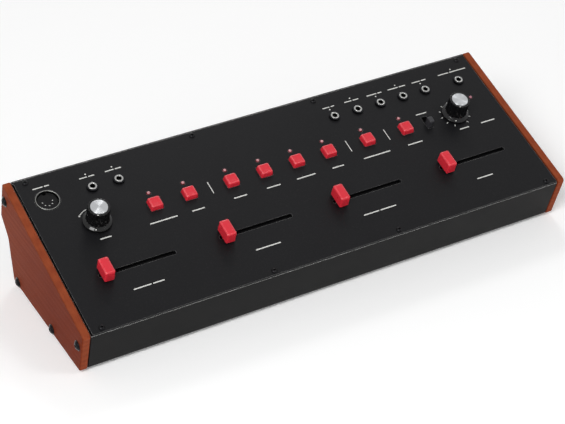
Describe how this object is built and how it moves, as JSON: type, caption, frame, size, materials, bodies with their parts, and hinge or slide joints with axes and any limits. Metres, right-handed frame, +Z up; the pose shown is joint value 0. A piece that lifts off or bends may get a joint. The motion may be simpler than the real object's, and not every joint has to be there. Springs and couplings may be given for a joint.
{
  "type": "analog synthesizer",
  "caption": "Desktop analog string synthesizer: a sloped black metal panel with slide controls, push buttons, knobs and patch jacks, in a folded steel case between wooden cheeks.",
  "frame": {"origin": "on the surface that the rubber feet stand on, under the middle of the box round the whole part", "axes": "+X to the player's right along the panel, +Y to the rear, away from the player, +Z up"},
  "size_m": [0.3692, 0.1318, 0.0792],
  "materials": {
    "black_paint": "satin",
    "wood": "oiled satin",
    "red_plastic": "semi-gloss",
    "black_gloss": "gloss",
    "black_plastic": "moulded",
    "aluminium": "turned",
    "bright_ring": "bright",
    "nickel": "plated",
    "circuit_board": "solder mask",
    "ribbon": "flat cable",
    "foot_rubber": "matte"
  },
  "bodies": {
    "case": {"chassis_tray": "black_paint", "data_socket": "nickel", "dc_inlet": "black_plastic", "five_pin_in_shield": "bright_ring", "five_pin_in_socket": "black_plastic", "five_pin_thru_shield": "bright_ring", "five_pin_thru_socket": "black_plastic", "front_panel": "black_paint", "left_cheek": "wood", "main_board": "circuit_board", "mode_switch_body": "black_plastic", "output_jack_1": "black_plastic", "output_jack_2": "black_plastic", "panel_board": "circuit_board", "patch_jack_1": "nickel", "patch_jack_2": "nickel", "patch_jack_3": "nickel", "patch_jack_4": "nickel", "patch_jack_5": "nickel", "patch_jack_6": "nickel", "patch_jack_7": "nickel", "patch_jack_8": "nickel", "power_switch_housing": "black_plastic", "rate_pot": "nickel", "ribbon_cable": "ribbon", "right_cheek": "wood", "rubber_foot_1": "foot_rubber", "rubber_foot_2": "foot_rubber", "rubber_foot_3": "foot_rubber", "rubber_foot_4": "foot_rubber", "slider_body_1": "nickel", "slider_body_2": "nickel", "slider_body_3": "nickel", "slider_body_4": "nickel", "tune_pot": "nickel"},
    "slider_1": {"slider_lever_1": "aluminium", "slider_cap_1": "red_plastic"},
    "slider_2": {"slider_lever_2": "aluminium", "slider_cap_2": "red_plastic"},
    "slider_3": {"slider_lever_3": "aluminium", "slider_cap_3": "red_plastic"},
    "slider_4": {"slider_lever_4": "aluminium", "slider_cap_4": "red_plastic"},
    "button_1": {"button_cap_1": "red_plastic"},
    "button_2": {"button_cap_2": "red_plastic"},
    "button_3": {"button_cap_3": "red_plastic"},
    "button_4": {"button_cap_4": "red_plastic"},
    "button_5": {"button_cap_5": "red_plastic"},
    "button_6": {"button_cap_6": "red_plastic"},
    "button_7": {"button_cap_7": "red_plastic"},
    "button_8": {"button_cap_8": "red_plastic"},
    "tune_control": {"tune_knob": "black_gloss", "tune_knob_disc": "aluminium", "tune_shaft": "aluminium"},
    "rate_control": {"rate_knob": "black_gloss", "rate_knob_disc": "aluminium", "rate_shaft": "aluminium"},
    "mode_lever": {"mode_switch_lever": "black_plastic"},
    "rocker": {"power_rocker": "black_gloss"}
  },
  "joints": [
    {"name": "slider_1_slide", "type": "slide", "parent": "case", "child": "slider_1", "axis": [1, 0, 0], "range_m": [0, 0.045]},
    {"name": "slider_2_slide", "type": "slide", "parent": "case", "child": "slider_2", "axis": [1, 0, 0], "range_m": [0, 0.045]},
    {"name": "slider_3_slide", "type": "slide", "parent": "case", "child": "slider_3", "axis": [1, 0, 0], "range_m": [0, 0.045]},
    {"name": "slider_4_slide", "type": "slide", "parent": "case", "child": "slider_4", "axis": [1, 0, 0], "range_m": [0, 0.045]},
    {"name": "button_1_press", "type": "slide", "parent": "case", "child": "button_1", "axis": [0, 0.3247, -0.9458], "range_m": [0, 0.001], "stiffness_N_per_m": 200, "springref_m": -0.001},
    {"name": "button_2_press", "type": "slide", "parent": "case", "child": "button_2", "axis": [0, 0.3247, -0.9458], "range_m": [0, 0.001], "stiffness_N_per_m": 200, "springref_m": -0.001},
    {"name": "button_3_press", "type": "slide", "parent": "case", "child": "button_3", "axis": [0, 0.3247, -0.9458], "range_m": [0, 0.001], "stiffness_N_per_m": 200, "springref_m": -0.001},
    {"name": "button_4_press", "type": "slide", "parent": "case", "child": "button_4", "axis": [0, 0.3247, -0.9458], "range_m": [0, 0.001], "stiffness_N_per_m": 200, "springref_m": -0.001},
    {"name": "button_5_press", "type": "slide", "parent": "case", "child": "button_5", "axis": [0, 0.3247, -0.9458], "range_m": [0, 0.001], "stiffness_N_per_m": 200, "springref_m": -0.001},
    {"name": "button_6_press", "type": "slide", "parent": "case", "child": "button_6", "axis": [0, 0.3247, -0.9458], "range_m": [0, 0.001], "stiffness_N_per_m": 200, "springref_m": -0.001},
    {"name": "button_7_press", "type": "slide", "parent": "case", "child": "button_7", "axis": [0, 0.3247, -0.9458], "range_m": [0, 0.001], "stiffness_N_per_m": 200, "springref_m": -0.001},
    {"name": "button_8_press", "type": "slide", "parent": "case", "child": "button_8", "axis": [0, 0.3247, -0.9458], "range_m": [0, 0.001], "stiffness_N_per_m": 200, "springref_m": -0.001},
    {"name": "tune_turn", "type": "hinge", "parent": "case", "child": "tune_control", "pos_m": [-0.1392, 0.00954, 0.06214], "axis": [0, 0.3247, -0.9458], "range_deg": [0, 300]},
    {"name": "rate_turn", "type": "hinge", "parent": "case", "child": "rate_control", "pos_m": [0.1405, 0.00954, 0.06214], "axis": [0, 0.3247, -0.9458], "range_deg": [0, 300]},
    {"name": "mode_switch_slide", "type": "slide", "parent": "case", "child": "mode_lever", "axis": [0, 0.9458, 0.3247], "range_m": [0, 0.005]},
    {"name": "power_rocker_tilt", "type": "hinge", "parent": "case", "child": "rocker", "pos_m": [0.152, 0.04651, 0.0163], "axis": [1, 0, 0], "range_deg": [0, 12]}
  ]
}
